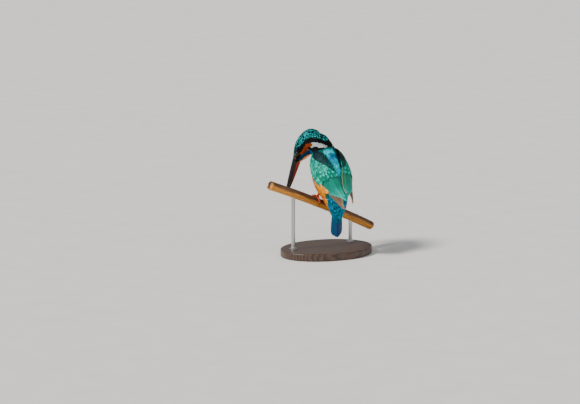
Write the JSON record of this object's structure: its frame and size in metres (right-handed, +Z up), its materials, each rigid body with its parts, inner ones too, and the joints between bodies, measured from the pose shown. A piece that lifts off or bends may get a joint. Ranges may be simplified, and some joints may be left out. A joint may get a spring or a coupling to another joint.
{
  "type": "common kingfisher, female, perched life-size model",
  "caption": "Life-size model of a female kingfisher gripping a short length of reed stem, head bowed steeply down, on a plain flat base with rods.",
  "frame": {"origin": "centre of the base's underside", "axes": "+Z up, +Y the way the bird's trunk faces, -X the bird's left"},
  "size_m": [0.1337, 0.0816, 0.1315],
  "materials": {
    "plumage_green_blue": "soft feathers, green-blue with pale azure spots, slightly glossy",
    "plumage_azure": "soft feathers, bright azure",
    "plumage_orange": "soft feathers, warm orange, matt",
    "tail_blue": "stiff vanes, deep blue, slightly glossy",
    "bill_horn": "black horn, satin",
    "bill_red_horn": "dull red horn with a dark tip, satin",
    "leg_skin": "scaly orange-red skin with dark claws",
    "eye": "dark brown, wet and glossy",
    "reed": "dry fibrous stem, matt",
    "base_wood": "dark walnut, satin lacquer",
    "rod_steel": "brushed"
  },
  "bodies": {
    "root": {"head": "plumage_green_blue", "neck": "plumage_green_blue", "trunk": "plumage_orange", "tail": "tail_blue", "bill_upper": "bill_horn", "bill_lower": "bill_red_horn", "eye_left": "eye", "eye_right": "eye", "wing_left": "plumage_green_blue", "wing_right": "plumage_green_blue", "leg_left": "leg_skin", "leg_right": "leg_skin", "perch_reed": "reed", "stand_base": "base_wood", "stand_rod_left": "rod_steel", "stand_rod_right": "rod_steel"}
  },
  "joints": []
}
